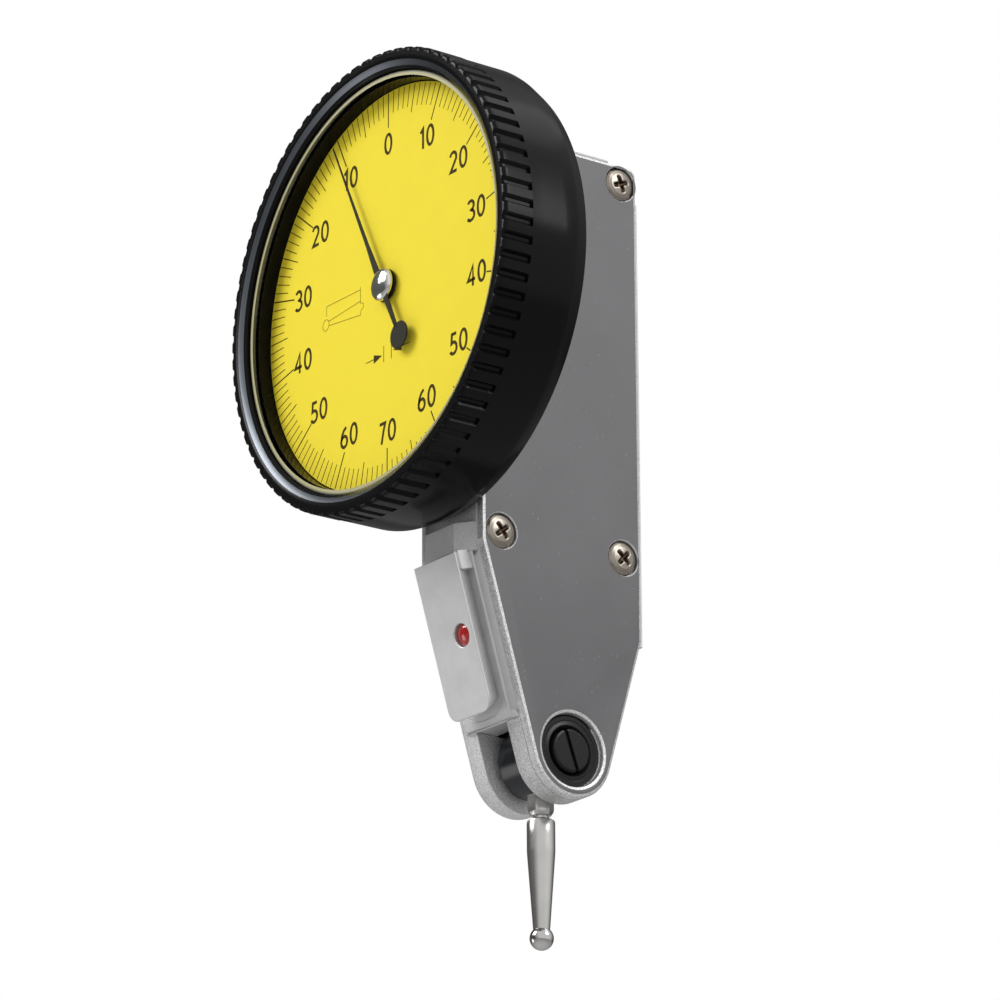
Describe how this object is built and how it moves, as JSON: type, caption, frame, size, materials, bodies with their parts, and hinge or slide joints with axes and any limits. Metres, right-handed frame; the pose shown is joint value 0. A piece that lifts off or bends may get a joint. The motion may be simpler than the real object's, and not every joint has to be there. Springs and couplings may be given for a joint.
{
  "type": "dial test indicator",
  "caption": "Lever type dial test indicator with a round dial, ribbed turning bezel, slim housing with male dovetails and a swivelling ball stylus.",
  "frame": {"origin": "on the face of the rear dovetail, where the dial's axis meets it", "axes": "+Z along the housing away from the stylus, -Y out of the dial's face, +X towards the side frame with the cover screws"},
  "size_m": [0.04, 0.0267, 0.0747],
  "materials": {
    "casting": "fine cast grain, satin",
    "side_plate": "dark grey satin, bright bevelled edge",
    "black_grip": "gloss black, ribbed grip",
    "dial_yellow": "matt yellow with black graduation",
    "clear": "clear, polished",
    "pointer_black": "matt black",
    "bright_steel": "polished steel",
    "polished_ball": "mirror polish",
    "nickel_screw": "nickel plate",
    "black_oxide": "black oxide, satin",
    "spring_steel": "spring steel",
    "lever_bronze": "beryllium bronze, satin",
    "movement_brass": "fine brushed brass",
    "bearing_bronze": "bearing bronze",
    "turned_aluminium": "turned",
    "red_seal": "red lacquer, gloss"
  },
  "bodies": {
    "housing": {"body_casting": "casting", "side_frame": "side_plate", "side_frame_screws": "nickel_screw", "locating_dowels": "bright_steel", "sealing_dot": "red_seal", "lever_stop_pins": "bright_steel", "pivot_lock_ring": "black_oxide", "right_pivot_screw": "black_oxide", "left_pivot_screw": "black_oxide", "dial_seat": "turned_aluminium", "dial_seat_screws": "nickel_screw", "bezel_snap_ring": "spring_steel", "centre_bearings": "bearing_bronze", "centre_bracket": "movement_brass", "centre_bracket_screw": "nickel_screw", "arbor_jewels": "bearing_bronze", "movement_bridge": "movement_brass", "movement_bridge_screws": "nickel_screw", "hairspring": "spring_steel", "hairspring_stud": "bright_steel"},
    "bezel_unit": {"bezel": "black_grip", "crystal": "clear", "dial_plate": "dial_yellow"},
    "pointer_unit": {"centre_arbor": "bright_steel", "pointer": "pointer_black", "pointer_boss": "bright_steel"},
    "crown_unit": {"crown_arbor": "bright_steel", "crown_wheel": "movement_brass", "hairspring_collet": "movement_brass"},
    "transfer_unit": {"transfer_arbor": "bright_steel", "transfer_wheel": "movement_brass"},
    "lever_unit": {"sensing_lever": "lever_bronze", "clutch_retainer": "spring_steel", "clutch_spring_washer": "spring_steel"},
    "stylus_unit": {"stylus_drum": "black_oxide", "stylus_stem": "bright_steel", "stylus_ball": "polished_ball"}
  },
  "joints": [
    {"name": "bezel_turn", "type": "hinge", "parent": "housing", "child": "bezel_unit", "pos_m": [0, -0.0243, 0], "axis": [0, 1, 0], "continuous": true},
    {"name": "pointer_turn", "type": "hinge", "parent": "housing", "child": "pointer_unit", "pos_m": [0, -0.0243, 0], "axis": [0, 1, 0], "range_deg": [0, 400]},
    {"name": "crown_turn", "type": "hinge", "parent": "housing", "child": "crown_unit", "pos_m": [0, -0.00856, 0], "axis": [-1, 0, 0], "range_deg": [0, 98], "stiffness_Nm_per_rad": 0.000005, "springref_deg": -168.45, "deforming": ["hairspring"]},
    {"name": "transfer_turn", "type": "hinge", "parent": "housing", "child": "transfer_unit", "pos_m": [0, -0.0097, -0.00772], "axis": [1, 0, 0], "range_deg": [0, 17.9]},
    {"name": "lever_swing", "type": "hinge", "parent": "housing", "child": "lever_unit", "pos_m": [0, -0.0087, -0.0387], "axis": [-1, 0, 0], "range_deg": [0, 0.595]},
    {"name": "stylus_swivel", "type": "hinge", "parent": "lever_unit", "child": "stylus_unit", "pos_m": [0, -0.0087, -0.0387], "axis": [1, 0, 0], "range_deg": [-100, 100]}
  ],
  "couplings": [
    {"joint": "crown_turn", "follows": "pointer_turn", "ratio": 0.2449},
    {"joint": "transfer_turn", "follows": "pointer_turn", "ratio": 0.044527},
    {"joint": "lever_swing", "follows": "pointer_turn", "ratio": 0.0014842}
  ]
}
